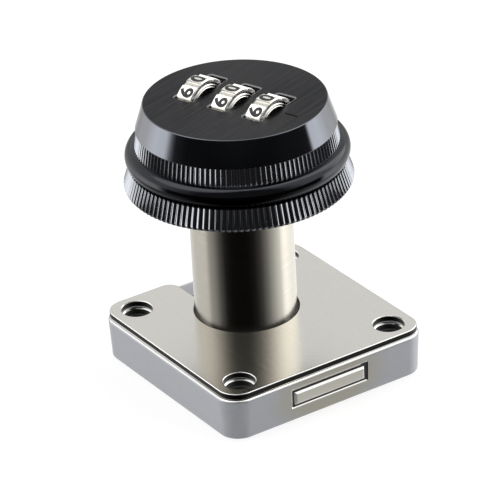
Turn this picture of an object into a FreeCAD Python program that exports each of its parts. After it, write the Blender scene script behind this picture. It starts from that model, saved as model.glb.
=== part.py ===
import FreeCAD, Part

import math
import os

# Combination locker lock for a cabinet door. A black knob with three number dials stands
# outside the door, a barrel passes through it, and a flat case with a sliding dead bolt is
# screwed to its inner face.
#
# All sizes are in millimetres. The origin is on the barrel axis, on the back face of the
# case, +Z points out through the barrel to the knob and +X is the way that the bolt slides.
# The part is drawn as in the photograph: bolt drawn in, dials at 0-0-0, knob not turned.

os.makedirs("parts", exist_ok=True)

Vector = FreeCAD.Vector
ORIGIN = Vector(0, 0, 0)
UP = Vector(0, 0, 1)
ALONG = Vector(1, 0, 0)

# Working values for the drawing itself: how far a cutting tool runs past a piece, how far two
# joined solids run into each other, and how close two heights must be to count as the same.
overrun = 1.0
joint_overlap = 0.5
tolerance = 1e-6

# Die-cast case. The barrel stands off centre in it, away from the bolt.
case_centre_x = 5.2
case_half_x = 21.8
case_half_y = 21.6
case_height = 8.1
case_draft = 2.7
case_corner = 4.2
case_rim_round = 0.55
case_foot_round = 0.35
case_wall = 2.0
case_floor = 1.6
case_pocket_corner = 1.5

# Top plate, a stamped sheet with a notch at the edge away from the bolt.
plate_half_x = 21.5
plate_half_y = 21.2
plate_corner = 3.8
plate_thickness = 1.15
plate_edge = 0.3
plate_burr_edge = 0.18
plate_hole_radius = 9.8
plate_hole_play = (0.11, 0.17)
notch_width = 11.0
notch_corner = 2.5

# Four fixing holes for the wood screws.
fix_half_x = 16.9
fix_half_y = 16.4
fix_plate_radius = 2.9
fix_sink_radius = 2.65
fix_sink_depth = 1.4
fix_hole_radius = 2.2

# Barrel with a foot flange that lies in the case and a spigot for the collar.
barrel_radius = 9.5
barrel_foot_radius = 12.0
barrel_foot_thickness = 2.0
barrel_spigot_radius = 9.0
barrel_bore = 5.5
crank_chamber_radius = 7.6
crank_chamber_top = 9.3
seat_gap = 0.05

# Bolt and its window. The bolt is moved by a crank pin in a cross slot.
bolt_half_width = 7.65
bolt_centre_y = -0.35
bolt_low = 3.3
bolt_high = 5.8
bolt_nose_proud = 0.35
bolt_nose_edge = 0.4
bolt_tail_wall = 2.5
window_half_width = 8.3
window_centre_y = -0.27
window_low = 2.7
window_high = 6.45
guide_gap = 0.12
crank_throw = 5.0
crank_pin_radius = 1.5
crank_pin_start = -135.0
knob_turn = 90.0
slot_gap = 0.07
slot_corner = 0.6
lag_steps = 90

# Turning knob: cap with skirt, fluted band and bead.
knob_top = 51.5
knob_top_radius = 16.75
knob_top_edge = 0.3
skirt_low = 46.5
skirt_radius = 18.25
skirt_edge = 0.15
knob_roof = 1.2
knob_wall = 1.9
bead_round = 1.9
bead_centre_radius = 18.55
bead_centre_z = 41.4
bead_mid_angle = 20.0
knob_low = 39.7
upper_flute_crest_top = 18.05
upper_flute_crest_low = 18.65
upper_flute_low = 43.15

# Fixed collar under the knob, fluted like the knob.
collar_low = 35.4
collar_high = 39.5
collar_web = 1.8
collar_wide_crest = 20.95
collar_wide_z = 35.95
collar_low_crest = 20.55
collar_high_crest = 19.85
collar_inner_radius = 18.0
flute_count = 120
flute_depth = 0.25
flute_lead = 0.15

# Number dials. The row of dials is turned against the case as the knob stands.
row_angle = 19.5
row_shift = -0.45
dial_pitch = 7.65
dial_width = 3.4
dial_axis_z = knob_top - 4.1
tile_radius = 6.2
tile_half_angle = 11.5
tile_flank_angle = 1.5
tile_count = 10
strip_radius = 5.78
rib_radius = 5.98
rib_count = 3
dial_side_edge = 0.35
dial_side_recess = 0.5
recess_inner = 4.45
recess_outer = 5.35
sleeve_radius = 3.6
window_width = 3.8
window_length = 10.6
window_corner = 0.4
window_edge = 0.18
window_depth = 3.0
dial_relief = 0.25

# Gates and lugs. A lug passes its gate only while the dial shows its code figure.
spindle_radius = 1.5
running_gap = 0.05
gate_thickness = 1.0
lug_length = 1.0
lug_width = 1.2
lug_radius = 3.2
lug_gap = 0.1
spindle_travel = gate_thickness + lug_length + 2 * lug_gap
spindle_left = -14.2
spindle_right = 13.0
follower_radius = 0.8
follower_place = 11.9
follower_low = 38.3
follower_high = 48.4
groove_gap = 0.1
spiral_steps = 12

# Scroll plate, base plate and the frame that carries the dials.
scroll_low = collar_low + collar_web
scroll_high = 39.2
scroll_radius = 17.8
scroll_groove_depth = 1.2
base_low = knob_low
base_high = 40.9
base_radius = 17.4
tenon_half = 2.7
frame_top = 50.1
frame_half_v = 8.9
frame_side_gap = 0.3
frame_rail_inner = 6.85
frame_rail_top = 43.2
frame_end_wall = 1.6
frame_cap_gap = 0.3
spring_thickness = 0.25
spring_width = 3.0
spring_low = 41.2
spring_top = 48.7
spring_bump = 0.3
spring_bump_half = 0.8

# Shaft, bushes, washer and screws.
shaft_radius = 4.0
shaft_clearance = 0.3
crank_disc_radius = 7.45
crank_disc_low = 6.15
crank_disc_high = 7.9
crank_hub_radius = 5.2
crank_gap = 0.1
bush_length = 4.6
bush_edge = 0.3
washer_thickness = 0.4
washer_radius = 9.0
screw_radius = 0.95
screw_head_radius = 1.8
screw_head_height = 0.9
screw_sink = 0.05
screw_end_gap = 0.2
case_screw_y = 10.3
case_screw_length = 7.4
scroll_screw_circle = 7.3
scroll_screw_length = 5.0
cap_post_radius = 1.9
cap_post_u = 7.2
cap_post_v = 12.0
cap_screw_length = 5.0
frame_screw_u = (-7.6, 6.4)
frame_screw_v = 7.9
frame_screw_length = 3.0
driver_slot_width = 0.5
driver_slot_depth = 0.4

# Index mark on the top of the knob.
mark_start = 11.1
mark_end = 13.9
mark_width = 0.45
mark_depth = 0.25

plate_top = case_height + plate_thickness
case_foot_half_x = case_half_x - case_height * math.tan(math.radians(case_draft))
dial_places = [row_shift + dial_pitch * step for step in (-1, 0, 1)]
fixing_places = [
    (case_centre_x + side_x * fix_half_x, side_y * fix_half_y)
    for side_x in (-1, 1)
    for side_y in (-1, 1)
]
bolt_nose_x = (
    case_centre_x + case_half_x
    - (case_height - bolt_high) * math.tan(math.radians(case_draft))
    + bolt_nose_proud
)


# Shape helpers

def cylinder(radius, low, high, x=0.0, y=0.0):
    """Upright cylinder between two heights."""
    return Part.makeCylinder(radius, high - low, Vector(x, y, low))


def block(x_range, y_range, z_range):
    """Box given by its two ends along each axis."""
    sizes = [ends[1] - ends[0] for ends in (x_range, y_range, z_range)]
    return Part.makeBox(*sizes, Vector(x_range[0], y_range[0], z_range[0]))


def turned(profile):
    """Solid of revolution about the barrel axis from (radius, height) points."""
    points = [Vector(radius, 0, z) for radius, z in profile]
    outline = Part.makePolygon(points + points[:1])
    return Part.Face(outline).revolve(ORIGIN, UP, 360)


def rounded_rectangle(half_x, half_y, corner, centre=(0.0, 0.0), z=0.0):
    """Closed outline of a rectangle with round corners."""
    arcs = []
    for side_x, side_y, start in ((1, 1, 0), (-1, 1, 90), (-1, -1, 180), (1, -1, 270)):
        middle = Vector(
            centre[0] + side_x * (half_x - corner),
            centre[1] + side_y * (half_y - corner),
            z,
        )
        arcs.append(Part.makeCircle(corner, middle, UP, start, start + 90))
    edges = []
    for arc, following in zip(arcs, arcs[1:] + arcs[:1]):
        edges.append(arc)
        edges.append(Part.makeLine(arc.Vertexes[-1].Point, following.Vertexes[0].Point))
    return Part.Wire(edges)


def prism(outline, height):
    """Upright extrusion of a closed outline."""
    return Part.Face(outline).extrude(Vector(0, 0, height))


def level_edges(shape, z):
    """Edges that lie flat at one height."""
    return [
        edge for edge in shape.Edges
        if abs(edge.BoundBox.ZMin - z) < tolerance and abs(edge.BoundBox.ZMax - z) < tolerance
    ]


def fluted_solid(sections):
    """Ring body with straight V flutes; each section is (crest radius, depth, height)."""
    wires = []
    for crest, depth, z in sections:
        points = []
        for step in range(2 * flute_count):
            radius = crest - depth * (step % 2)
            angle = math.pi * step / flute_count
            points.append(Vector(radius * math.cos(angle), radius * math.sin(angle), z))
        wires.append(Part.makePolygon(points + points[:1]))
    return Part.makeLoft(wires, True, True)


def to_row(shape):
    """Turn a shape drawn along the dial row to where the row stands."""
    shape.rotate(ORIGIN, UP, row_angle)
    return shape


def countersunk_screw(x, y, head_z, length, points_up=True):
    """Small slotted countersunk screw with its head flush at head_z."""
    way = 1 if points_up else -1
    axis = Vector(0, 0, way)
    start = Vector(x, y, head_z + way * screw_sink)
    head = Part.makeCone(screw_head_radius, screw_radius, screw_head_height, start, axis)
    shank = Part.makeCylinder(screw_radius, length, start, axis)
    screw = head.fuse(shank).removeSplitter()
    slot_z = sorted((start.z, start.z + way * driver_slot_depth))
    slot = block(
        (x - 2 * screw_head_radius, x + 2 * screw_head_radius),
        (y - driver_slot_width / 2, y + driver_slot_width / 2),
        slot_z,
    )
    return screw.cut(slot)


def screw_seat(x, y, head_z, length, points_up=True):
    """Hole that takes the countersunk screw."""
    way = 1 if points_up else -1
    axis = Vector(0, 0, way)
    face = Vector(x, y, head_z)
    rim = Part.makeCylinder(screw_head_radius, screw_sink, face, axis)
    sunk = Vector(x, y, head_z + way * screw_sink)
    cone = Part.makeCone(screw_head_radius, screw_radius, screw_head_height, sunk, axis)
    bore = Part.makeCylinder(screw_radius, length, sunk, axis)
    return rim.fuse([cone, bore])


# Case, plate and barrel

def make_case():
    """Die-cast case: drafted walls, round rim, bolt channel and four sunk fixing holes."""
    inset = case_half_x - case_foot_half_x
    centre = (case_centre_x, 0.0)
    foot = rounded_rectangle(
        case_half_x - inset, case_half_y - inset, case_corner - inset, centre, 0.0)
    rim = rounded_rectangle(case_half_x, case_half_y, case_corner, centre, case_height)
    body = Part.makeLoft([foot, rim], True, True)
    body = body.makeFillet(case_rim_round, level_edges(body, case_height))
    body = body.makeFillet(case_foot_round, level_edges(body, 0.0))

    foot_seat = cylinder(
        barrel_foot_radius + seat_gap, case_height - barrel_foot_thickness, case_height)
    channel_y = (
        bolt_centre_y - bolt_half_width - guide_gap,
        bolt_centre_y + bolt_half_width + guide_gap,
    )
    wall_inside_x = case_centre_x + case_foot_half_x - case_wall
    tail_x = bolt_tail_x() - 2 * guide_gap
    channel = block((tail_x, wall_inside_x), channel_y, (bolt_low - seat_gap, case_height))
    window = block(
        (wall_inside_x - overrun, case_centre_x + case_half_x + overrun),
        (window_centre_y - window_half_width, window_centre_y + window_half_width),
        (window_low, window_high),
    )
    hollows = [foot_seat, channel, window]
    side_pocket_half_y = (case_half_y - case_wall - barrel_foot_radius - case_wall) / 2
    for side in (-1, 1):
        pocket = rounded_rectangle(
            fix_half_x - fix_sink_radius - case_wall,
            side_pocket_half_y,
            case_pocket_corner,
            (case_centre_x, side * (case_half_y - case_wall - side_pocket_half_y)),
            case_floor,
        )
        hollows.append(prism(pocket, case_height - case_floor))
        hollows.append(screw_seat(0.0, side * case_screw_y, 0.0, case_screw_length))
    for x, y in fixing_places:
        hollows.append(cylinder(fix_hole_radius, 0.0, case_height, x, y))
        sink_low = case_height - fix_sink_depth
        hollows.append(cylinder(fix_sink_radius, sink_low, case_height, x, y))
    return body.cut(hollows)


def make_top_plate():
    """Stamped plate with the barrel hole, the notch and four screw holes."""
    centre = (case_centre_x, 0.0)
    plate = prism(
        rounded_rectangle(plate_half_x, plate_half_y, plate_corner, centre, case_height),
        plate_thickness,
    )
    plate = plate.makeChamfer(plate_edge, level_edges(plate, case_height))
    plate = plate.makeChamfer(plate_burr_edge, level_edges(plate, plate_top))
    edge_x = case_centre_x - plate_half_x
    half = notch_width / 2
    low = case_height - overrun
    high = plate_top + overrun
    notch = block((edge_x - overrun, plate_hole_play[0]), (-half, half), (low, high))
    cuts = [notch, cylinder(plate_hole_radius, low, high, *plate_hole_play)]
    for side in (-1, 1):
        flare = block(
            (edge_x - overrun, edge_x + notch_corner),
            sorted((side * (half - overrun), side * (half + notch_corner))),
            (low, high),
        )
        round_y = side * (half + notch_corner)
        corner = cylinder(notch_corner, low, high, edge_x + notch_corner, round_y)
        cuts.append(flare.cut(corner))
    for x, y in fixing_places:
        cuts.append(cylinder(fix_plate_radius, low, high, x, y))
        cuts.append(Part.makeCone(
            fix_plate_radius, fix_plate_radius + plate_burr_edge, plate_burr_edge,
            Vector(x, y, plate_top - plate_burr_edge)))
    return plate.cut(cuts)


def make_barrel():
    """Turned barrel: foot flange, crank chamber, bush bore and collar spigot."""
    foot_low = case_height - barrel_foot_thickness
    barrel = turned([
        (crank_chamber_radius, foot_low),
        (barrel_foot_radius, foot_low),
        (barrel_foot_radius, case_height),
        (barrel_radius, case_height),
        (barrel_radius, collar_low),
        (barrel_spigot_radius, collar_low),
        (barrel_spigot_radius, scroll_low),
        (barrel_bore, scroll_low),
        (barrel_bore, crank_chamber_top),
        (crank_chamber_radius, crank_chamber_top),
    ])
    seats = []
    for side in (-1, 1):
        seats.append(screw_seat(0.0, side * case_screw_y, 0.0, case_screw_length))
    for x, y in scroll_screw_places():
        seats.append(screw_seat(x, y, scroll_high, scroll_screw_length, False))
    return barrel.cut(seats)


def make_bush(low):
    """Plain bearing bush pressed into the barrel bore."""
    inner = shaft_radius + running_gap
    high = low + bush_length
    return turned([
        (inner, low + bush_edge), (inner + bush_edge, low), (barrel_bore - bush_edge, low),
        (barrel_bore, low + bush_edge), (barrel_bore, high - bush_edge),
        (barrel_bore - bush_edge, high), (inner + bush_edge, high), (inner, high - bush_edge),
    ])


# Bolt and crank

def crank_travel():
    """Way that the bolt slides while the knob turns."""
    start = math.radians(crank_pin_start)
    end = math.radians(crank_pin_start + knob_turn)
    return crank_throw * (math.cos(end) - math.cos(start))


def crank_lag():
    """Most that the crank pin runs off a steady slide, taken up by the cross slot."""
    turn = math.radians(knob_turn)
    start = math.radians(crank_pin_start)
    most = 0.0
    for step in range(lag_steps + 1):
        share = step / lag_steps
        pin = crank_throw * (math.cos(start + turn * share) - math.cos(start))
        most = max(most, abs(pin - crank_travel() * share))
    return most


def slot_half_width():
    """Half the width of the cross slot, with room for the lag of the pin."""
    return crank_pin_radius + crank_lag() + slot_gap


def pin_start():
    """Place of the crank pin while the bolt is drawn in."""
    angle = math.radians(crank_pin_start)
    return crank_throw * math.cos(angle), crank_throw * math.sin(angle)


def bolt_tail_x():
    """Inner end of the bolt, behind the cross slot."""
    return pin_start()[0] - slot_half_width() - bolt_tail_wall


def make_bolt():
    """Flat dead bolt with bevelled nose and the cross slot for the crank pin."""
    y_range = (bolt_centre_y - bolt_half_width, bolt_centre_y + bolt_half_width)
    bolt = block((bolt_tail_x(), bolt_nose_x), y_range, (bolt_low, bolt_high))
    nose = [
        edge for edge in bolt.Edges
        if abs(edge.BoundBox.XMin - bolt_nose_x) < tolerance
    ]
    bolt = bolt.makeChamfer(bolt_nose_edge, nose)
    pin_x, pin_y = pin_start()
    half = slot_half_width()
    slot_y = (
        -crank_throw - crank_pin_radius - 2 * slot_gap,
        pin_y + crank_pin_radius + 2 * slot_gap,
    )
    slot_z = (bolt_low - overrun, bolt_high + overrun)
    slot = block((pin_x - half, pin_x + half), slot_y, slot_z)
    upright = [edge for edge in slot.Edges if edge.BoundBox.ZLength > bolt_high - bolt_low]
    slot = slot.makeFillet(slot_corner, upright)
    return bolt.cut(slot)


def make_drive_shaft():
    """Shaft from the knob to the crank disc with its pin, in one turned piece."""
    body = turned([
        (0.0, crank_disc_low),
        (crank_disc_radius, crank_disc_low),
        (crank_disc_radius, crank_disc_high),
        (crank_hub_radius, crank_disc_high),
        (crank_hub_radius, crank_chamber_top - crank_gap),
        (shaft_radius, crank_chamber_top - crank_gap),
        (shaft_radius, base_low),
        (0.0, base_low),
    ])
    pin_x, pin_y = pin_start()
    pin_top = crank_disc_low + joint_overlap
    pin = cylinder(crank_pin_radius, bolt_low + crank_gap, pin_top, pin_x, pin_y)
    side = (-tenon_half, tenon_half)
    tenon = block(side, side, (base_low - joint_overlap, base_high))
    return body.fuse([pin, to_row(tenon)]).removeSplitter()


# Collar and scroll plate

def make_lower_collar():
    """Fixed collar: fluted rim that flares to the door, flat web on the barrel spigot."""
    rim = fluted_solid([
        (collar_low_crest, flute_depth / 2, collar_low),
        (collar_wide_crest, flute_depth, collar_wide_z),
        (collar_high_crest, flute_depth, collar_high - flute_lead),
        (collar_high_crest - flute_depth / 2, flute_depth / 2, collar_high),
    ])
    hollow = cylinder(collar_inner_radius, scroll_low, collar_high + overrun)
    bore = cylinder(barrel_spigot_radius, collar_low - overrun, scroll_low + overrun)
    return rim.cut([hollow, bore])


def scroll_screw_places():
    """Three places on a circle round the shaft."""
    places = []
    for step in range(3):
        angle = math.radians(row_angle + 180 + 120 * step)
        places.append((
            scroll_screw_circle * math.cos(angle),
            scroll_screw_circle * math.sin(angle),
        ))
    return places


def scroll_point(turn, offset, z):
    """Point beside the spiral that the follower pin runs along, offset to its outside."""
    gain = spindle_travel / math.radians(knob_turn)
    radius = follower_place + gain * turn
    tangent = Vector(
        gain * math.cos(turn) - radius * math.sin(turn),
        gain * math.sin(turn) + radius * math.cos(turn),
        0,
    ).normalize()
    outward = Vector(tangent.y, -tangent.x, 0)
    middle = Vector(radius * math.cos(turn), radius * math.sin(turn), z)
    return middle + outward * offset, tangent


def scroll_side(offset, z):
    """One long side of the spiral groove as a smooth curve."""
    whole = math.radians(knob_turn)
    turns = [whole * step / spiral_steps for step in range(spiral_steps + 1)]
    curve = Part.BSplineCurve()
    curve.interpolate([scroll_point(turn, offset, z)[0] for turn in turns])
    return curve.toShape()


def scroll_end(turn, forward, half, z):
    """Round end of the spiral groove."""
    outer = scroll_point(turn, half, z)[0]
    inner = scroll_point(turn, -half, z)[0]
    middle, tangent = scroll_point(turn, 0.0, z)
    return Part.Arc(outer, middle + tangent * (half * forward), inner).toShape()


def make_scroll_plate():
    """Fixed plate whose spiral groove pushes the lug spindle as the knob turns."""
    plate = cylinder(scroll_radius, scroll_low, scroll_high)
    groove_low = scroll_high - scroll_groove_depth
    half = follower_radius + groove_gap
    outline = Part.Wire([
        scroll_side(half, groove_low),
        scroll_end(math.radians(knob_turn), 1, half, groove_low),
        scroll_side(-half, groove_low),
        scroll_end(0.0, -1, half, groove_low),
    ])
    cuts = [
        to_row(prism(outline, scroll_groove_depth)),
        cylinder(shaft_radius + shaft_clearance, scroll_low, scroll_high),
    ]
    for x, y in scroll_screw_places():
        cuts.append(screw_seat(x, y, scroll_high, scroll_screw_length, False))
    return plate.cut(cuts)


# Knob

def cap_post_places():
    """Places of the four screw posts under the roof of the cap."""
    return [(side_u * cap_post_u, side_v * cap_post_v)
            for side_u in (-1, 1) for side_v in (-1, 1)]


def frame_screw_places():
    """Places of the four screws that hold the dial frame."""
    return [(u, side * frame_screw_v) for u in frame_screw_u for side in (-1, 1)]


def make_bead():
    """Half-round bead at the foot of the cap, with the rebate for the base plate."""
    drop = bead_centre_z - knob_low
    low_radius = bead_centre_radius + math.sqrt(bead_round ** 2 - drop ** 2)
    top_z = bead_centre_z + bead_round
    inside = bead_centre_radius - knob_wall
    middle_angle = math.radians(bead_mid_angle)
    arc = Part.Arc(
        Vector(bead_centre_radius, 0, top_z),
        Vector(bead_centre_radius + bead_round * math.cos(middle_angle), 0,
               bead_centre_z + bead_round * math.sin(middle_angle)),
        Vector(low_radius, 0, knob_low),
    ).toShape()
    path = Part.makePolygon([
        Vector(low_radius, 0, knob_low),
        Vector(inside, 0, knob_low),
        Vector(inside, 0, top_z),
        Vector(bead_centre_radius, 0, top_z),
    ])
    return Part.Face(Part.Wire([arc] + path.Edges)).revolve(ORIGIN, UP, 360)


def make_knob_cap():
    """Cap of the knob: flat top with three windows, cone skirt, fluted band and bead."""
    skirt = turned([
        (0.0, skirt_low),
        (skirt_radius - skirt_edge, skirt_low),
        (skirt_radius, skirt_low + skirt_edge),
        (knob_top_radius, knob_top - knob_top_edge),
        (knob_top_radius - knob_top_edge, knob_top),
        (0.0, knob_top),
    ])
    flutes = fluted_solid([
        (upper_flute_crest_low, flute_depth, upper_flute_low),
        (upper_flute_crest_top, flute_depth, skirt_low),
    ])
    body = skirt.fuse([flutes, make_bead()])

    roof = knob_top - knob_roof
    hollow = turned([
        (0.0, knob_low - overrun),
        (base_radius, knob_low - overrun),
        (base_radius, base_high),
        (bead_centre_radius - knob_wall, base_high),
        (upper_flute_crest_top - knob_wall, skirt_low),
        (knob_top_radius - knob_wall, roof),
        (0.0, roof),
    ])
    posts = [
        cylinder(cap_post_radius, base_high, roof + joint_overlap, *place)
        for place in cap_post_places()
    ]
    hollow = hollow.cut([to_row(post) for post in posts])
    cuts = [hollow]
    for place in dial_places:
        for piece in window_cutters(place):
            cuts.append(to_row(piece))
    mark = block(
        (mark_start, mark_end), (-mark_width / 2, mark_width / 2),
        (knob_top - mark_depth, knob_top + overrun),
    )
    cuts.append(to_row(mark))
    for u, v in cap_post_places():
        cuts.append(to_row(screw_seat(u, v, base_low, cap_screw_length)))
    return body.cut(cuts)


def window_cutters(place):
    """Window in the top of the cap, its bevelled edge and the room round the dial."""
    half_u = window_width / 2
    half_v = window_length / 2
    centre = (place, 0.0)
    opening = prism(
        rounded_rectangle(half_u, half_v, window_corner, centre, knob_top - window_depth),
        window_depth + overrun)
    low = rounded_rectangle(
        half_u, half_v, window_corner, centre, knob_top - window_edge)
    high = rounded_rectangle(
        half_u + window_edge, half_v + window_edge, window_corner + window_edge,
        centre, knob_top)
    bevel = Part.makeLoft([low, high], True, True)
    room = Part.makeCylinder(
        tile_radius + dial_relief, window_width,
        Vector(place - half_u, 0, dial_axis_z), ALONG)
    return opening, bevel, room


def make_base_plate():
    """Plate that closes the knob, with the tenon hole and the follower slot."""
    plate = cylinder(base_radius, base_low, base_high)
    half = follower_radius + groove_gap
    far = follower_place + spindle_travel
    low = base_low - overrun
    high = base_high + overrun
    slot = block((follower_place, far), (-half, half), (low, high))
    ends = [cylinder(half, low, high, place, 0.0) for place in (follower_place, far)]
    side = (-tenon_half, tenon_half)
    tenon_hole = block(side, side, (low, high))
    cuts = [slot, tenon_hole] + ends
    for u, v in cap_post_places():
        cuts.append(screw_seat(u, v, base_low, cap_screw_length))
    for u, v in frame_screw_places():
        cuts.append(screw_seat(u, v, base_low, frame_screw_length))
    return to_row(plate.cut(cuts))


def make_thrust_washer():
    """Low-friction washer under the base plate."""
    inner = shaft_radius + shaft_clearance
    low = base_low - washer_thickness
    return turned([
        (inner, low), (washer_radius, low), (washer_radius, base_low), (inner, base_low),
    ])


def frame_walls():
    """Ends along the row of the four walls that hold the spindle."""
    reach = dial_width / 2 + frame_side_gap
    first, middle, last = dial_places
    return [
        (first - reach - frame_end_wall, first - reach),
        (first + reach, middle - reach),
        (middle + reach, last - reach),
        (last + reach, last + reach + frame_end_wall),
    ]


def make_dial_frame():
    """Cast frame: four walls with keyholes for the spindle, joined by two rails."""
    walls = frame_walls()
    pieces = [
        block(wall, (-frame_half_v, frame_half_v), (base_high, frame_top)) for wall in walls
    ]
    for side in (-1, 1):
        rail_v = sorted((side * frame_rail_inner, side * frame_half_v))
        pieces.append(block(
            (walls[0][0], walls[-1][1]), rail_v, (base_high, frame_rail_top)))
    frame = pieces[0].fuse(pieces[1:]).removeSplitter()
    start = walls[0][0] - overrun
    end = walls[-1][1] + overrun
    bore = dial_disc(spindle_radius + running_gap, start, end)
    half = lug_width / 2 + lug_gap
    keyway = block(
        (start, end), (-half, half), (dial_axis_z - lug_radius - lug_gap, dial_axis_z))
    inside_cap = knob_top_radius - knob_wall - frame_cap_gap
    well_outside = 3 * knob_top_radius
    outside_cap = turned([
        (inside_cap, base_high - overrun), (well_outside, base_high - overrun),
        (well_outside, knob_top), (inside_cap, knob_top),
    ])
    cuts = [bore, keyway, outside_cap]
    for u, v in frame_screw_places():
        cuts.append(screw_seat(u, v, base_low, frame_screw_length))
    return to_row(frame.cut(cuts))


def make_detent_spring(place):
    """Leaf spring beside a dial; its bump clicks into the ribbed strips."""
    inner = frame_rail_inner - spring_thickness
    tip = inner - spring_bump
    outline = [
        (frame_rail_inner, spring_low), (frame_rail_inner, spring_top),
        (inner, spring_top), (inner, dial_axis_z + spring_bump_half),
        (tip, dial_axis_z), (inner, dial_axis_z - spring_bump_half), (inner, spring_low),
    ]
    points = [Vector(place - spring_width / 2, v, z) for v, z in outline]
    face = Part.Face(Part.makePolygon(points + points[:1]))
    return to_row(face.extrude(ALONG * spring_width))


# Dials and lug spindle

def dial_point(radius, degrees):
    """Point on a dial's outline, measured from its top towards the far side."""
    angle = math.radians(degrees)
    return Vector(0, radius * math.sin(angle), dial_axis_z + radius * math.cos(angle))


def dial_outline():
    """Outline of a number ring: ten raised tiles with ribbed strips between them."""
    pitch = 360 / tile_count
    strip_start = tile_half_angle + tile_flank_angle
    strip_span = pitch - 2 * strip_start
    edges = []
    for tile in range(tile_count):
        centre = tile * pitch
        first = dial_point(tile_radius, centre - tile_half_angle)
        last = dial_point(tile_radius, centre + tile_half_angle)
        edges.append(Part.Arc(first, dial_point(tile_radius, centre), last).toShape())
        points = [last]
        for step in range(2 * rib_count + 1):
            radius = rib_radius if step % 2 else strip_radius
            along = centre + strip_start + strip_span * step / (2 * rib_count)
            points.append(dial_point(radius, along))
        points.append(dial_point(tile_radius, centre + pitch - tile_half_angle))
        edges.extend(Part.makePolygon(points).Edges)
    return Part.Wire(edges)


def dial_disc(radius, start, end):
    """Cylinder on the dial axis between two places along the row."""
    return Part.makeCylinder(radius, end - start, Vector(start, 0, dial_axis_z), ALONG)


def make_number_ring(place):
    """Number ring of one dial: tiles, bevelled sides and side recesses."""
    start = place - dial_width / 2
    end = place + dial_width / 2
    ring = Part.Face(dial_outline()).extrude(ALONG * dial_width)
    ring.translate(ALONG * start)
    edge = dial_side_edge
    bevel_small = tile_radius - edge
    barrel_shape = dial_disc(tile_radius, start + edge, end - edge).fuse([
        Part.makeCone(bevel_small, tile_radius, edge, Vector(start, 0, dial_axis_z), ALONG),
        Part.makeCone(tile_radius, bevel_small, edge, Vector(end - edge, 0, dial_axis_z), ALONG),
    ])
    ring = ring.common(barrel_shape)
    cuts = [dial_disc(sleeve_radius, start, end)]
    for low, high in ((start, start + dial_side_recess), (end - dial_side_recess, end)):
        groove = dial_disc(recess_outer, low, high).cut(dial_disc(recess_inner, low, high))
        cuts.append(groove)
    return to_row(ring.cut(cuts))


def make_gate_sleeve(place):
    """Sleeve in a number ring: a web with one gate between two free pockets."""
    half = dial_width / 2 - running_gap
    sleeve = dial_disc(sleeve_radius, place - half, place + half)
    web = gate_thickness / 2
    pocket = lug_radius + lug_gap
    gate_half = lug_width / 2 + lug_gap
    cuts = [
        dial_disc(spindle_radius + running_gap, place - half, place + half),
        dial_disc(pocket, place - half, place - web),
        dial_disc(pocket, place + web, place + half),
        block((place - web, place + web), (-gate_half, gate_half),
              (dial_axis_z - pocket, dial_axis_z)),
    ]
    return to_row(sleeve.cut(cuts))


def make_lug_spindle():
    """Sliding spindle that carries the dials, with one lug for each gate."""
    spindle = dial_disc(spindle_radius, spindle_left, spindle_right)
    lug_back = gate_thickness / 2 + lug_gap + lug_length
    lugs = []
    for place in dial_places:
        lugs.append(block(
            (place - lug_back, place - lug_back + lug_length),
            (-lug_width / 2, lug_width / 2),
            (dial_axis_z - lug_radius, dial_axis_z - spindle_radius / 2),
        ))
    spindle = spindle.fuse(lugs).removeSplitter()
    hole = cylinder(follower_radius, follower_low, follower_high, follower_place, 0.0)
    return to_row(spindle.cut(hole))


def make_follower_pin():
    """Pin that joins the spindle to the spiral groove."""
    return to_row(cylinder(
        follower_radius, follower_low, follower_high, follower_place, 0.0))


# Screws

def make_case_screws():
    """Two screws from the back that hold the barrel foot."""
    return Part.makeCompound([
        countersunk_screw(0.0, side * case_screw_y, 0.0, case_screw_length - screw_end_gap)
        for side in (-1, 1)
    ])


def make_scroll_screws():
    """Three screws that hold the scroll plate and collar on the barrel."""
    return Part.makeCompound([
        countersunk_screw(x, y, scroll_high, scroll_screw_length - screw_end_gap, False)
        for x, y in scroll_screw_places()
    ])


def make_cap_screws():
    """Four screws from below that hold the cap on its base plate."""
    return to_row(Part.makeCompound([
        countersunk_screw(u, v, base_low, cap_screw_length - screw_end_gap)
        for u, v in cap_post_places()
    ]))


def make_frame_screws():
    """Four screws from below that hold the dial frame."""
    return to_row(Part.makeCompound([
        countersunk_screw(u, v, base_low, frame_screw_length - screw_end_gap)
        for u, v in frame_screw_places()
    ]))


def write(name, shape):
    """Write one piece and print its size, so that a bad solid shows at once."""
    shape.exportStep("parts/" + name + ".step")
    box = shape.BoundBox
    print(
        name, "solids", len(shape.Solids), "valid", shape.isValid(),
        "volume %.1f" % shape.Volume,
        "box %.2f %.2f %.2f to %.2f %.2f %.2f" % (
            box.XMin, box.YMin, box.ZMin, box.XMax, box.YMax, box.ZMax),
    )


write("case", make_case())
write("top_plate", make_top_plate())
write("barrel", make_barrel())
write("lower_bush", make_bush(crank_chamber_top))
write("upper_bush", make_bush(scroll_low - bush_length))
write("case_screws", make_case_screws())
write("bolt", make_bolt())
write("drive_shaft", make_drive_shaft())
write("lower_collar", make_lower_collar())
write("scroll_plate", make_scroll_plate())
write("scroll_screws", make_scroll_screws())
write("knob_cap", make_knob_cap())
write("knob_base_plate", make_base_plate())
write("thrust_washer", make_thrust_washer())
write("dial_frame", make_dial_frame())
write("cap_screws", make_cap_screws())
write("frame_screws", make_frame_screws())
write("lug_spindle", make_lug_spindle())
write("follower_pin", make_follower_pin())
for number, dial_place in enumerate(dial_places, start=1):
    write("number_ring_%d" % number, make_number_ring(dial_place))
    write("gate_sleeve_%d" % number, make_gate_sleeve(dial_place))
    write("detent_spring_%d" % number, make_detent_spring(dial_place))
print("bolt travel %.4f lag %.4f" % (crank_travel(), crank_lag()))
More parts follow.
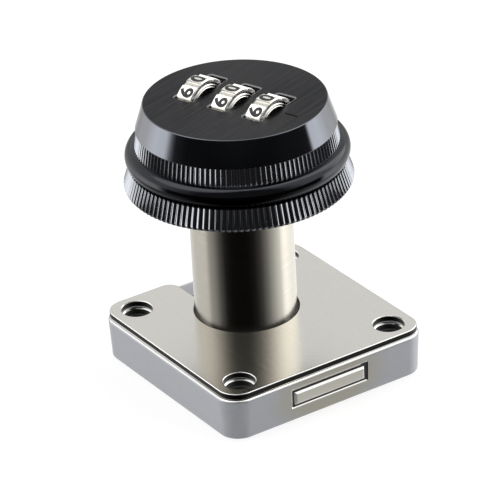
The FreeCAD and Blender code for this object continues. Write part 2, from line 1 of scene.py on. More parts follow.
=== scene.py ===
# %% [markdown]
# # A combination locker lock
# The lock has a black knob with three number dials, a nickel barrel that goes through the
# door, and a flat nickel case with a bolt in its edge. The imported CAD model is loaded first
# and never changed. It says where each piece is, and what moves with what. The pieces that
# the eye meets are then drawn again as fine meshes, and each one gets a real finish.

import math

import bmesh
import bpy
from mathutils import Matrix, Vector


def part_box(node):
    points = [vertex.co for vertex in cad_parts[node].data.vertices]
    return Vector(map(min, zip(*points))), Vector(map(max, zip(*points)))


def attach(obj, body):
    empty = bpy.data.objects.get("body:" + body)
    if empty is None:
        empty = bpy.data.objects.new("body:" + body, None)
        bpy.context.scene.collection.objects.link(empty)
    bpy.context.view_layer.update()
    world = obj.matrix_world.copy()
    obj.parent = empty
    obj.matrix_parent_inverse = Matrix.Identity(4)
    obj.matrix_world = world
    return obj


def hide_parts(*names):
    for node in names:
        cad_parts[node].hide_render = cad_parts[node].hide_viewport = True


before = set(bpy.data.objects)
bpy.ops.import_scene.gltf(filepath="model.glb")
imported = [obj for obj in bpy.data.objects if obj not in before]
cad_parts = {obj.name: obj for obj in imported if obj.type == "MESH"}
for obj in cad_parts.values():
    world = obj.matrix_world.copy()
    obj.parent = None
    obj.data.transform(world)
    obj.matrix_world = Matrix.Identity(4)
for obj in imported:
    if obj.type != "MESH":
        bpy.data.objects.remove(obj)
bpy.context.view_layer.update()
print("nodes in the frame:", len(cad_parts))

# %% [markdown]
# ## Units and colours
# Blender works in metres, and a lock is easier to think of in millimetres, so every size
# below is in millimetres and is turned to metres in one place. Colours are written as the
# hex values of a colour picker. Blender mixes light in linear values, so one function
# turns the hex values to linear. Painting with raw hex values would look washed out.

# %% Units and colours
mm = 0.001


def linear(hex_colour):
    """Linear red, green, blue and alpha of an sRGB hex colour."""
    channels = []
    for place in (1, 3, 5):
        value = int(hex_colour[place:place + 2], 16) / 255
        if value <= 0.04045:
            channels.append(value / 12.92)
        else:
            channels.append(((value + 0.055) / 1.055) ** 2.4)
    return (*channels, 1.0)


print("mid grey in linear:", [round(value, 3) for value in linear("#808080")])

# %% [markdown]
# ## Nodes
# Finishes and studio light are both made of nodes. Adding one always takes the same steps:
# make it, set its values and join its inputs. One small function does the three at once.

# %% Add a node
def add_node(owner, kind, settings=None, links=None):
    """Add one node to a material or world, set its values and join its inputs."""
    node = owner.node_tree.nodes.new(kind)
    for name, value in (settings or {}).items():
        if isinstance(name, str) and hasattr(node, name):
            setattr(node, name, value)
        else:
            node.inputs[name].default_value = value
    for name, output in (links or {}).items():
        owner.node_tree.links.new(output, node.inputs[name])
    return node


print("helper ready:", add_node.__name__)

# %% [markdown]
# ## Camera
# The lock was seen from its bolt corner and from above, through a long lens, so its
# upright lines stay almost parallel. The camera could be aimed by eye, but the place, the
# turn and the lens worked out from the object's own corners put each edge where it was seen.

# %% Where the camera looks from
camera_place = (513.97, -328.6, 345.67)
camera_azimuth = math.radians(57.45)
camera_height_angle = math.radians(27.88)
camera_tilt = math.radians(-3.14)
camera_lens = 283.53

flat_right = Vector((math.cos(camera_azimuth), math.sin(camera_azimuth), 0.0))
to_camera = Vector((
    math.sin(camera_azimuth) * math.cos(camera_height_angle),
    -math.cos(camera_azimuth) * math.cos(camera_height_angle),
    math.sin(camera_height_angle),
))
flat_up = to_camera.cross(flat_right)
camera_right = math.cos(camera_tilt) * flat_right + math.sin(camera_tilt) * flat_up
camera_up = math.cos(camera_tilt) * flat_up - math.sin(camera_tilt) * flat_right
print("direction to the camera:", [round(value, 3) for value in to_camera])

# %% Camera
camera = bpy.data.objects.new("camera", bpy.data.cameras.new("camera"))
camera.data.lens = camera_lens
camera.data.sensor_width = 36.0
camera.data.clip_start = 0.01
camera.data.clip_end = 20.0
turned = Matrix((camera_right, camera_up, to_camera)).transposed().to_4x4()
camera.matrix_world = Matrix.Translation(Vector(camera_place) * mm) @ turned
bpy.context.collection.objects.link(camera)
bpy.context.scene.camera = camera
bpy.context.scene.view_settings.view_transform = "Standard"
print("camera at", [round(value, 3) for value in camera.location])

# %% [markdown]
# ## Finishes
# Metal is mostly what it reflects. What tells one metal from another is its tint and how
# much its surface smears the reflection, so each finish below starts from how the surface
# was made: brushed, turned, cast or plated. The marks of a brush or a lathe are long in one
# direction and fine across it, and a noise pattern that is stretched does the same. Real
# marks are a few hundredths of a millimetre wide and would vanish in a picture of the whole
# lock, so they are drawn as coarse as they need to be to show. They are only a few
# thousandths of a millimetre deep.

# %% A finish with working marks
mark_relief = 0.004
usual_noise = (0.3, 0.7)


def marked_metal(name, colour, rough, marks, spread, metallic=1.0, depth=0.2, turn=0.0,
                 **sockets):
    """Metal whose tint, gloss and relief follow one pattern of working marks.

    marks is the size in millimetres of one mark along X, Y and Z, turn is how far the
    pattern is turned about Z, and spread is how far the roughness swings with it. Other
    names are sockets of the shader.
    """
    metal = bpy.data.materials.new(name)
    metal.use_nodes = True
    shader = metal.node_tree.nodes["Principled BSDF"]
    place = add_node(metal, "ShaderNodeTexCoord")
    turned_place = add_node(
        metal, "ShaderNodeVectorRotate", {"rotation_type": "Z_AXIS", "Angle": -turn},
        {"Vector": place.outputs["Object"]})
    scale = [1 / (size * mm) for size in marks]
    stretch = add_node(
        metal, "ShaderNodeMapping", {"Scale": scale},
        {"Vector": turned_place.outputs["Vector"]})
    grain = add_node(
        metal, "ShaderNodeTexNoise", {"Scale": 1.0, "Detail": 3.0, "Roughness": 0.6},
        {"Vector": stretch.outputs["Vector"]})
    gloss = add_node(
        metal, "ShaderNodeMapRange",
        {"From Min": usual_noise[0], "From Max": usual_noise[1],
         "To Min": rough - spread, "To Max": rough + spread},
        {"Value": grain.outputs["Fac"]})
    tint = add_node(
        metal, "ShaderNodeMix",
        {"data_type": "RGBA", 6: linear(colour[0]), 7: linear(colour[1])},
        {0: grain.outputs["Fac"]})
    relief = add_node(
        metal, "ShaderNodeBump", {"Strength": depth, "Distance": mark_relief * mm},
        {"Height": grain.outputs["Fac"]})
    join_nodes = metal.node_tree.links.new
    join_nodes(gloss.outputs["Result"], shader.inputs["Roughness"])
    join_nodes(tint.outputs[2], shader.inputs["Base Color"])
    join_nodes(relief.outputs["Normal"], shader.inputs["Normal"])
    shader.inputs["Metallic"].default_value = metallic
    for socket, value in sockets.items():
        shader.inputs[socket.replace("_", " ")].default_value = value
    return metal


print("marks are", mark_relief, "mm deep")

# %% [markdown]
# ### Black anodised aluminium
# The knob is turned from aluminium and dyed black in an acid bath. The dye lies inside a
# hard clear layer, so a turned flank keeps a mirror gloss over black. Where the metal was
# worked in other ways, the eye gets something else from the same dye. The row of dials
# stands at a slant to the case, and the brush went along it.

# %% Black finishes
row_angle = math.radians(19.5)

# A dark mirror with a clear layer: the skirt shows the panels of the studio as grey sheets.
polished_black = marked_metal(
    "polished black anodised aluminium", ("#565960", "#5e6168"), 0.09, (4.0, 4.0, 4.0),
    0.02, depth=0.05, Coat_Weight=0.6, Coat_Roughness=0.05)
# Softer and deeper: the bead stays black and gets only a faint line of light.
satin_black = marked_metal(
    "satin black anodised aluminium", ("#2e2f32", "#36373a"), 0.12, (2.0, 2.0, 2.0),
    0.03, depth=0.05)
# Fingers wear the dye thin on the flutes, so they flash bright between black gaps.
fluted_black = marked_metal(
    "rolled flutes, dye worn thin", ("#8f9196", "#9b9da2"), 0.12, (0.6, 0.6, 0.6), 0.03,
    depth=0.05, Specular_Tint=(0.3, 0.3, 0.3, 1.0))
# The bevels of the windows were cut last, so a thin grey line frames each window.
bare_edge = marked_metal(
    "aluminium edge cut after dyeing", ("#808185", "#909195"), 0.25, (0.5, 0.5, 0.5), 0.05,
    depth=0.05)
# Painted shade: the inside of the windows is matt black, so the dials stand out against the
# dark.
window_shade = marked_metal(
    "painted shade inside the windows", ("#060607", "#0d0d0e"), 0.6, (0.5, 0.5, 0.5), 0.08,
    metallic=0.0, depth=0.3)
# Brushed before it was dyed: fine lines, drawn coarse here, and a soft even sheen.
brushed_black = marked_metal(
    "brushed black anodised aluminium", ("#050506", "#2b2c30"), 0.34, (0.3, 14.0, 14.0),
    0.14, depth=0.5, turn=row_angle, Anisotropic=0.4)
print("black finishes:", polished_black.name, "and", brushed_black.name)

# %% [markdown]
# ### Nickel
# Nickel is a warm white metal, and takes the look of whatever lies under it. Sheet that was
# ground flat mirrors in a soft way, turned brass smears every mirror image up and down, and
# cast zinc keeps the dull skin of its mould.

# %% Nickel finishes
# A soft mirror with faint lines: the plate shows a blurred picture of the barrel.
plate_nickel = marked_metal(
    "ground nickel-plated sheet", ("#cfccc6", "#dbd9d4"), 0.2, (9.0, 0.25, 9.0),
    0.03, depth=0.12)
# Nearly a mirror, with lathe marks round it: smooth bands from white to black.
barrel_nickel = marked_metal(
    "turned nickel-plated brass", ("#cfcabd", "#dad6ca"), 0.17, (9.0, 9.0, 0.4),
    0.015, depth=0.02, Anisotropic=0.9, Anisotropic_Rotation=0.25)
# Matt and colder: the walls of the case look an even grey.
case_nickel = marked_metal(
    "nickel-plated zinc casting", ("#adafb5", "#b8babf"), 0.42, (1.2, 1.2, 1.2),
    0.04, metallic=0.2, depth=0.12)
# Painted highlight: edges get a lighter, glossier nickel, so they show as thin white lines.
edge_highlight = marked_metal(
    "nickel edge with painted highlight", ("#dcdbd7", "#e9e8e5"), 0.2, (0.8, 0.8, 0.8), 0.04,
    depth=0.05)
# Painted shade: the lower part of the plate's edge is dark, so a black seam shows below it.
plate_edge_shade = marked_metal(
    "painted shade on the sheet's edge", ("#2c2c2b", "#393938"), 0.5, (0.2, 0.2, 2.0), 0.08,
    depth=0.3)
# Satin and pale, so that the black figures read well.
dial_nickel = marked_metal(
    "satin nickel dial", ("#e6e4de", "#f2f0ea"), 0.3, (0.3, 0.3, 0.3), 0.05, depth=0.1)
# Ground along its length: pale, with fine level lines on the nose.
bolt_nickel = marked_metal(
    "ground nickel-plated bolt", ("#d6d3c8", "#e2dfd6"), 0.36, (5.0, 6.0, 0.12),
    0.08, metallic=0.5, depth=0.5)
# Painted shade: dark, matt zinc that makes holes, gaps and grooves look black.
painted_shade = marked_metal(
    "painted shade on dull zinc casting", ("#0f0f0e", "#191817"), 0.7, (0.8, 0.8, 0.8), 0.08,
    metallic=0.0, depth=0.5)
print("nickel finishes:", plate_nickel.name, "and", barrel_nickel.name)

# %% [markdown]
# Round the bolt window the nickel of the casting is given a warmer tint. A distance from
# the window, measured in an egg shape, fades that warm tint out into the cold one.

# %% Warm nickel round the bolt window
window_spot = (26.8, -0.3, 4.6)
window_reach = (5.0, 13.5, 6.8)
warm_fade = (0.55, 1.1)
warm_tint = "#b0ada2"
case_shader = case_nickel.node_tree.nodes["Principled BSDF"]
cold_tint = case_shader.inputs["Base Color"].links[0].from_socket
case_place = add_node(case_nickel, "ShaderNodeTexCoord")
from_window = add_node(
    case_nickel, "ShaderNodeVectorMath",
    {"operation": "SUBTRACT", 1: [size * mm for size in window_spot]},
    {0: case_place.outputs["Object"]})
in_reaches = add_node(
    case_nickel, "ShaderNodeVectorMath",
    {"operation": "DIVIDE", 1: [size * mm for size in window_reach]},
    {0: from_window.outputs["Vector"]})
how_far = add_node(
    case_nickel, "ShaderNodeVectorMath", {"operation": "LENGTH"},
    {0: in_reaches.outputs["Vector"]})
warmth = add_node(
    case_nickel, "ShaderNodeMapRange",
    {"interpolation_type": "SMOOTHSTEP", "From Min": warm_fade[0], "From Max": warm_fade[1],
     "To Min": 1.0, "To Max": 0.0},
    {"Value": how_far.outputs["Value"]})
warm_mix = add_node(
    case_nickel, "ShaderNodeMix", {"data_type": "RGBA", 7: linear(warm_tint)},
    {0: warmth.outputs["Result"], 6: cold_tint})
case_nickel.node_tree.links.new(warm_mix.outputs[2], case_shader.inputs["Base Color"])
print("warm tint reaches", window_reach, "mm")

# %% [markdown]
# ### Small finishes
# Steel, brass, spring steel and a dark plastic are used inside. These pieces keep the shape
# of the CAD model, which is right as it is, and only get a better finish.

# %% Inside finishes and the figure paint
# Fine rings of the lathe and a grey gloss.
turned_steel = marked_metal(
    "turned steel", ("#8d8c8a", "#a3a2a0"), 0.32, (0.4, 0.4, 0.1), 0.06)
# Dark blue grey, as heat leaves it.
spring_steel = marked_metal(
    "blued spring steel", ("#4b4c50", "#5c5d61"), 0.35, (0.1, 3.0, 3.0), 0.06)
# Warm yellow with fine rings.
bush_brass = marked_metal(
    "turned brass", ("#b9985a", "#c9a96a"), 0.3, (3.0, 3.0, 0.1), 0.05)
# Cold and bright.
screw_zinc = marked_metal(
    "zinc-plated screw", ("#b4b6ba", "#c8cacd"), 0.3, (0.5, 0.5, 0.5), 0.06)
# Dark, waxy and without any metal shine.
washer_plastic = marked_metal(
    "acetal washer", ("#26262a", "#303034"), 0.5, (1.0, 1.0, 1.0), 0.05, metallic=0.0)
# Flat black that fills the figures.
figure_paint = marked_metal(
    "black figure paint", ("#060606", "#0c0c0c"), 0.45, (0.5, 0.5, 0.5), 0.05, metallic=0.0)

inside_finishes = {
    # The castings inside get the same dark paint that stands for shade.
    painted_shade: ("dial_frame", "scroll_plate", "knob_base_plate"),
    turned_steel: ("drive_shaft", "lug_spindle", "follower_pin", "gate_sleeve_1",
                   "gate_sleeve_2", "gate_sleeve_3"),
    spring_steel: ("detent_spring_1", "detent_spring_2", "detent_spring_3"),
    bush_brass: ("lower_bush", "upper_bush"),
    screw_zinc: ("case_screws", "scroll_screws", "cap_screws", "frame_screws"),
    washer_plastic: ("thrust_washer",),
}
for finish, node_names in inside_finishes.items():
    for node_name in node_names:
        for material_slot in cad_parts[node_name].material_slots:
            material_slot.material = finish
    print(finish.name, "on", len(node_names), "nodes")

# %% [markdown]
# ## One way to make a solid
# Turned, cast and milled pieces all have one thing in common: an outline that changes as it
# moves along the piece. A loft skins a row of such outlines. It could be done by hand with
# the bridge tool, but in code a few lines make every solid of this lock, with rounds and
# flutes where the outline has them. Holes are cut afterwards by a second loft.

# %% Loft
def loft(name, outlines, closed=False):
    """Solid skinned over outlines with the same number of points, in millimetres."""
    work = bmesh.new()
    rings = [[work.verts.new(Vector(point) * mm) for point in outline] for outline in outlines]
    pairs = list(zip(rings, rings[1:]))
    if closed:
        pairs.append((rings[-1], rings[0]))
    else:
        work.faces.new(rings[0])
        work.faces.new(rings[-1])
    for low, high in pairs:
        for index in range(len(low)):
            after = (index + 1) % len(low)
            work.faces.new((low[index], low[after], high[after], high[index]))
    bmesh.ops.recalc_face_normals(work, faces=work.faces)
    mesh = bpy.data.meshes.new(name)
    work.to_mesh(mesh)
    work.free()
    piece = bpy.data.objects.new(name, mesh)
    bpy.context.collection.objects.link(piece)
    return piece


print("helper ready:", loft.__name__)

# %% [markdown]
# Each piece then gets its finishes and its place in the frame. Paint goes on by face: one
# rule, such as every face that lies level, picks what gets a finish. Smooth shading makes
# fine facets look round, but a real edge has to stay an edge, so faces that meet at more
# than a set angle are kept sharp. Two heights less than a hair apart count as the same.

# %% Paint and dress
smooth_angle = math.radians(28)
hair = 0.01


def within(value, limits):
    """True for a value between two limits."""
    return limits[0] < value < limits[1]


def paint(piece, finish, chosen):
    """Give a finish to the faces for which chosen(normal, place in millimetres) is true."""
    piece.data.materials.append(finish)
    index = len(piece.data.materials) - 1
    for face in piece.data.polygons:
        if chosen(face.normal, face.center / mm):
            face.material_index = index


def dress(piece, body, nodes=()):
    """Smooth a piece, tie it to its body and let it stand for its nodes."""
    piece.data.shade_smooth()
    piece.data.set_sharp_from_angle(angle=smooth_angle)
    even = piece.modifiers.new("even", "WEIGHTED_NORMAL")
    even.keep_sharp = True
    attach(piece, body)
    if nodes:
        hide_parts(*nodes)
    print(piece.name, "faces", len(piece.data.polygons), "on", body)


print("faces stay sharp past", round(math.degrees(smooth_angle)), "degrees")

# %% [markdown]
# ## Knob
# The knob is one turned piece: a flat top, a cone skirt, a band of flutes for the fingers
# and a half-round bead at its foot. A lathe profile swept round the axis gives all of it.
# The flutes could be cut one by one, but it is lighter to pull the profile in and out by the
# depth of a flute as it goes round, in a wave with eight steps to a flute.

# %% Lathe with flutes
flute_count = 120
steps_per_flute = 8
flute_depth = 0.24


def fluted_ring(radius, z, depth):
    """Ring of points that dips by depth once in each flute."""
    points = []
    columns = flute_count * steps_per_flute
    for column in range(columns):
        phase = column % steps_per_flute / steps_per_flute
        dip = depth * (1 - math.cos(2 * math.pi * phase)) / 2
        angle = 2 * math.pi * column / columns
        points.append((
            (radius - dip) * math.cos(angle), (radius - dip) * math.sin(angle), z))
    return points


def arc(centre, radius, start, end, steps):
    """Points of an arc in a plane; the angles are in degrees."""
    points = []
    for step in range(steps + 1):
        angle = math.radians(start + (end - start) * step / steps)
        points.append((
            centre[0] + radius * math.cos(angle),
            centre[1] + radius * math.sin(angle),
        ))
    return points


print("points in a ring:", len(fluted_ring(1.0, 0.0, 0.0)))

# %% Sizes of the knob cap
knob_top = 1000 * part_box("knob_cap")[1].z
knob_low = 1000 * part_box("knob_cap")[0].z
knob_top_radius = 16.75
knob_top_edge = 0.18
skirt_low = 46.5
skirt_radius = 18.25
skirt_edge = 0.15
bead_radius = 1.9
bead_centre = (18.55, 41.4)
bead_end = 88
bead_steps = 16
low_edge_steps, top_edge_steps = 4, 5
flute_crest_low = 18.62
flute_crest_top = 18.05
base_radius = 17.4
base_top = 40.9
roof = 1.2
wall = 1.9
skirt_lean = (skirt_radius - knob_top_radius) / (knob_top - knob_top_edge - skirt_low)
print("the skirt leans", round(math.degrees(math.atan(skirt_lean)), 1), "degrees")

# %% Knob cap
bead_start = -math.degrees(math.asin((bead_centre[1] - knob_low) / bead_radius))
bead_top = bead_centre[1] + bead_radius
lean_angle = math.degrees(math.atan(skirt_lean))
low_edge_centre = (skirt_radius - skirt_edge, skirt_low + skirt_edge)
top_edge_centre = (knob_top_radius - knob_top_edge, knob_top - knob_top_edge)
bead = arc(bead_centre, bead_radius, bead_start, bead_end, bead_steps)
low_edge = arc(low_edge_centre, skirt_edge, -90, lean_angle, low_edge_steps)
top_edge = arc(top_edge_centre, knob_top_edge, lean_angle, 90, top_edge_steps)
cap_profile = [(base_radius, knob_low, 0.0)]
cap_profile += [(*point, 0.0) for point in bead]
cap_profile += [
    (flute_crest_low, bead_top, flute_depth),
    (flute_crest_top, skirt_low, flute_depth),
]
cap_profile += [(*point, 0.0) for point in low_edge + top_edge]
inner_profile = [
    (base_radius, base_top), (bead_centre[0] - wall, base_top),
    (flute_crest_top - wall, skirt_low), (knob_top_radius - wall, knob_top - roof),
]
cap_outlines = [fluted_ring(*row) for row in reversed(cap_profile)]
cap_outlines += [fluted_ring(radius, z, 0.0) for radius, z in inner_profile]
knob_cap = loft("knob_cap_turned", cap_outlines)
print("knob cap rows:", len(cap_outlines))

# %% [markdown]
# ### Windows and index mark
# Each dial looks out of a narrow window with a small bevel round it, and a short line on
# the top is the mark that the numbers are read against. The windows are cut with lofts that
# widen towards the top, so that the bevel comes with the cut. A round room is cut below,
# where a dial comes near to the roof. The edges could be bevelled after the cut, but a
# bevel tool picks its edges by angle and would catch the flutes as well. Places on the knob
# are given along and across the row of dials, because everything there lines up with it.

# %% Along and across the row
row_along = Vector((math.cos(row_angle), math.sin(row_angle), 0.0))
row_across = Vector((-math.sin(row_angle), math.cos(row_angle), 0.0))
row_shift = -0.45
dial_pitch = 7.65
dial_places = [row_shift + dial_pitch * step for step in (-1, 0, 1)]
dial_axis_drop = 4.1
dial_axis_z = knob_top - dial_axis_drop


def on_row(u, v, z):
    """Place of a point given along and across the row of dials."""
    return row_along * u + row_across * v + Vector((0.0, 0.0, z))


def rounded_outline(half_a, half_b, corner, centre=(0.0, 0.0), steps=8):
    """Rectangle with round corners as points in a plane."""
    points = []
    for side_a, side_b, start in ((1, 1, 0), (-1, 1, 90), (-1, -1, 180), (1, -1, 270)):
        middle = (
            centre[0] + side_a * (half_a - corner),
            centre[1] + side_b * (half_b - corner),
        )
        points.extend(arc(middle, corner, start, start + 90, steps))
    return points


print("dials at", dial_places, "mm along the row")


# %% Cutters for the row
window_corner_steps = 4


def row_prism(name, levels, half_u, half_v, corner, centre):
    """Upright cutter over the row; each level is (height, how far it is widened)."""
    outlines = []
    for z, wider in levels:
        outline = rounded_outline(
            half_u + wider, half_v + wider, corner + max(wider, 0.0), centre,
            window_corner_steps)
        outlines.append([on_row(u, v, z) for u, v in outline])
    return loft(name, outlines)


def row_disc(name, radius, start, end, columns=96):
    """Cutter that lies on the dials' axis."""
    outlines = []
    for u in (start, end):
        outlines.append([
            on_row(u, v, dial_axis_z + z)
            for v, z in arc((0.0, 0.0), radius, 0, 360 - 360 / columns, columns - 1)
        ])
    return loft(name, outlines)


print("helpers ready:", row_prism.__name__, "and", row_disc.__name__)

# %% Cutters of the windows
window_width = 3.8
window_ends = (-5.05, 6.05)
window_corner = 0.4
edge_wide, edge_deep = 0.28, 0.12
dial_room = 6.45
mark_ends = (11.1, 13.9)
mark_width = 0.34
mark_corner = 0.1
mark_depth = 0.25

window_levels = [
    (knob_top - 2 * roof, 0.0), (knob_top - edge_deep, 0.0), (knob_top, edge_wide),
    (knob_top + edge_deep, 2 * edge_wide),
]
window_middle = (window_ends[0] + window_ends[1]) / 2
window_half = (window_ends[1] - window_ends[0]) / 2
window_cutters = [
    row_prism(
        "window", window_levels, window_width / 2, window_half, window_corner,
        (place, window_middle))
    for place in dial_places
]
mark_middle = (mark_ends[0] + mark_ends[1]) / 2
mark_levels = [(knob_top - mark_depth, 0.0), (knob_top + mark_depth, 0.0)]
window_cutters.append(row_prism(
    "mark", mark_levels, (mark_ends[1] - mark_ends[0]) / 2, mark_width / 2, mark_corner,
    (mark_middle, 0.0)))
room_cutters = [
    row_disc("room", dial_room, place - window_width / 2, place + window_width / 2)
    for place in dial_places
]
print("cutters:", len(window_cutters) + len(room_cutters))

# %% [markdown]
# A cut takes one solid out of another. Several cutters are joined first, so that a piece is
# cut once. The walls of the cut take the cutter's finish, which paints the inside of a window
# dark as shade without picking any faces.

# %% Cut
def join(name, pieces):
    """One object from several, such as all the cutters of one cut."""
    work = bmesh.new()
    for piece in pieces:
        work.from_mesh(piece.data)
        bpy.data.objects.remove(piece)
    mesh = bpy.data.meshes.new(name)
    work.to_mesh(mesh)
    work.free()
    joined = bpy.data.objects.new(name, mesh)
    bpy.context.collection.objects.link(joined)
    return joined


def settle(piece):
    """Keep the result of a piece's modifiers as its own mesh."""
    view = bpy.context.evaluated_depsgraph_get()
    mesh = bpy.data.meshes.new_from_object(piece.evaluated_get(view))
    piece.modifiers.clear()
    piece.data = mesh


def cut(piece, cutters, inside):
    """Take the cutters out of a piece; the new walls get the inside finish."""
    cutter = join(piece.name + "_cutter", cutters)
    cutter.data.materials.append(inside)
    step = piece.modifiers.new("cut", "BOOLEAN")
    step.object = cutter
    step.operation = "DIFFERENCE"
    step.solver = "EXACT"
    step.material_mode = "TRANSFER"
    settle(piece)
    bpy.data.objects.remove(cutter)
    print(piece.name, "faces after the cut:", len(piece.data.polygons))


knob_cap.data.materials.append(polished_black)
# The walls of the windows, the index mark and the rooms get the painted shade.
cut(knob_cap, window_cutters, window_shade)
cut(knob_cap, room_cutters, window_shade)

# %% Finishes of the knob cap
level_rise = 0.999
bevel_rise = (0.3, 0.99)
windows_reach = 14
paint(knob_cap, brushed_black, lambda normal, spot: (
    normal.z > level_rise and spot.z > knob_top - hair))
paint(knob_cap, fluted_black, lambda normal, spot: (
    bead_top < spot.z < skirt_low and spot.xy.length > base_radius))
paint(knob_cap, bare_edge, lambda normal, spot: (
    within(normal.z, bevel_rise) and spot.z > knob_top - edge_deep
    and spot.xy.length < windows_reach))
paint(knob_cap, satin_black, lambda normal, spot: spot.z < bead_top)
dress(knob_cap, "knob", ["knob_cap"])

# %% [markdown]
# ## Collar
# Under the knob sits a collar that doesn't turn. It flares a little towards the door and has
# the same flutes as the knob, so that the two look like one grip. It is the same lathe again
# with another profile.

# %% Lower collar
collar_low, collar_high = (1000 * corner.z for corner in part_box("lower_collar"))
collar_wide = 20.95
collar_foot = 20.55
collar_top = 19.85
collar_wide_z = 35.95
collar_lead = 0.15
collar_inner = 18.0
web_top = 37.2
spigot_radius = 9.0

collar_profile = [
    (spigot_radius, collar_low, 0.0),
    (collar_foot - flute_depth, collar_low, 0.0),
    (collar_foot, collar_low, flute_depth / 2),
    (collar_wide, collar_wide_z, flute_depth),
    (collar_top, collar_high - collar_lead, flute_depth),
    (collar_top - flute_depth / 2, collar_high, flute_depth / 2),
    (collar_top - 2 * flute_depth, collar_high, 0.0),
    (collar_inner, collar_high, 0.0),
    (collar_inner, web_top, 0.0),
    (spigot_radius, web_top, 0.0),
]
collar = loft("lower_collar_turned", [fluted_ring(*row) for row in collar_profile], True)
collar.data.materials.append(satin_black)
paint(collar, fluted_black, lambda normal, spot: (
    collar_wide_z < spot.z < collar_high - collar_lead
    and spot.xy.length > collar_top - 2 * flute_depth))
dress(collar, "housing", ["lower_collar"])

# %% [markdown]
# ## Barrel
# The barrel is a plain turned tube with a flange that lies in the case. A tube looks simple,
# but the eye sees every flat in a mirror, so it has 256 steps round. The flange is painted
# dark as shade, so that the gap round the foot of the barrel looks black.

# %% Barrel
case_top = 8.1
barrel_columns = 256
barrel_radius = 9.5
flange_radius = 12.0
flange_low = 6.1
chamber_radius = 7.6
chamber_top = 9.3
bore_radius = 5.5


def circle(radius, z, centre=(0.0, 0.0), columns=64):
    """Level circle of points."""
    return [
        (
            centre[0] + radius * math.cos(2 * math.pi * column / columns),
            centre[1] + radius * math.sin(2 * math.pi * column / columns),
            z,
        )
        for column in range(columns)
    ]


barrel_profile = [
    (bore_radius, web_top), (spigot_radius, web_top), (spigot_radius, collar_low),
    (barrel_radius, collar_low), (barrel_radius, case_top), (flange_radius, case_top),
    (flange_radius, flange_low), (chamber_radius, flange_low), (chamber_radius, chamber_top),
    (bore_radius, chamber_top),
]
barrel = loft(
    "barrel_turned",
    [circle(radius, z, columns=barrel_columns) for radius, z in barrel_profile], True)
barrel.data.materials.append(barrel_nickel)
# The flange and the foot below the rim of the case are painted dark as shade.
paint(barrel, painted_shade, lambda normal, spot: spot.z < case_top + hair)
dress(barrel, "housing", ["barrel"])

# %% [markdown]
# ## Case
# The case is a zinc casting. Its walls lean in towards the back so that it comes out of the
# mould, and its corners and rims are round. Rounded rectangles of slightly different sizes,
# stacked from the back to the rim, follow all of that. The bolt window, the screw holes and
# the seat for the barrel are cut out of the stack, and their walls are painted dark as shade.
# The rim lies a little lower than the seat of the plate, and the ledge of that gap is painted
# dark as shade, so it shows as a dark seam below the plate's edge. The rim itself gets a
# lighter nickel as a painted highlight.

# %% Case body
case_centre_x = 5.2
case_half_x = 21.8
case_half_y = 21.6
case_corner = 4.2
corner_steps = 12
case_draft = math.tan(math.radians(2.7))
rim_round = 0.55
foot_round = 0.35
seam_height = 0.2
seam_inset = 1.1
foot_steps, rim_steps = 4, 8
sink_rim = case_top - seam_height


def case_outline(inset, z):
    """Outline of the case, drawn in from its widest size."""
    outline = rounded_outline(
        case_half_x - inset, case_half_y - inset, case_corner - inset,
        (case_centre_x, 0.0), corner_steps)
    return [(x, y, z) for x, y in outline]


case_outlines = []
foot_inset = (case_top - foot_round) * case_draft
for out, z in arc((0.0, foot_round), foot_round, -90, 0, foot_steps):
    case_outlines.append(case_outline(foot_inset + foot_round - out, z))
rim_inset = rim_round * case_draft
for out, z in arc((0.0, case_top - rim_round), rim_round, 0, 90, rim_steps):
    case_outlines.append(case_outline(rim_inset + rim_round - out, z - seam_height))
case_outlines.append(case_outline(seam_inset, sink_rim))
case_outlines.append(case_outline(seam_inset, case_top))
case = loft("case_cast", case_outlines)
case.data.materials.append(case_nickel)
print("case outlines:", len(case_outlines))

# %% Sizes of the holes
fix_half_x = 16.9
fix_half_y = 16.4
fix_sink = 2.65
fix_sink_depth = 1.4
fix_hole = 2.2
foot_seat = 12.05
case_screw_y = 10.3
screw_head = 1.8
screw_shank = 0.95
screw_head_lip = 0.05
screw_head_height = 0.9
screw_depth = 5.9
sink_edge = 0.2
sink_floor = case_top - fix_sink_depth
past = 1.0
fixing_places = [
    (case_centre_x + side_x * fix_half_x, side_y * fix_half_y)
    for side_x in (-1, 1) for side_y in (-1, 1)
]
print("corner screws at", fixing_places)


# %% Cut the holes
def turned_cutter(name, profile, centre):
    """Round cutter with steps, from (radius, height) pairs."""
    return loft(name, [circle(radius, z, centre) for radius, z in profile])


fixing_profile = [
    (fix_hole, -past), (fix_hole, sink_floor - sink_edge), (fix_hole + sink_edge, sink_floor),
    (fix_sink, sink_floor), (fix_sink, sink_rim - sink_edge),
    (fix_sink + sink_edge, sink_rim), (fix_sink + sink_edge, case_top + past),
]
case_screw_profile = [
    (screw_head, -past), (screw_head, screw_head_lip), (screw_shank, screw_head_height),
    (screw_shank, screw_depth),
]
rim_rise = (0.5, 0.9)
slope_rise = (0.01, 0.99)
hole_cutters = [turned_cutter("hole", fixing_profile, place) for place in fixing_places]
hole_cutters.append(turned_cutter(
    "seat", [(foot_seat, flange_low), (foot_seat, case_top + past)], (0.0, 0.0)))
for side in (-1, 1):
    hole_cutters.append(
        turned_cutter("screw_seat", case_screw_profile, (0.0, side * case_screw_y)))
# The walls of the holes and of the seat get the painted shade.
cut(case, hole_cutters, painted_shade)
# The rounded rim of the case gets the painted highlight.
paint(case, edge_highlight, lambda normal, spot: (
    within(normal.z, rim_rise) and spot.z > sink_rim - rim_round))
# The ledge and the step of the seam below the plate are painted dark as shade.
paint(case, painted_shade, lambda normal, spot: (
    sink_rim - hair < spot.z < case_top - hair and not within(normal.z, slope_rise)))

# %% [markdown]
# ### Bolt window and channel
# The bolt slides in a channel in the casting and comes out through a window that is a little
# larger than the bolt. The window flares at the face of the wall. One loft from the tail of
# the bolt to the open air cuts the channel, the window and the flare.

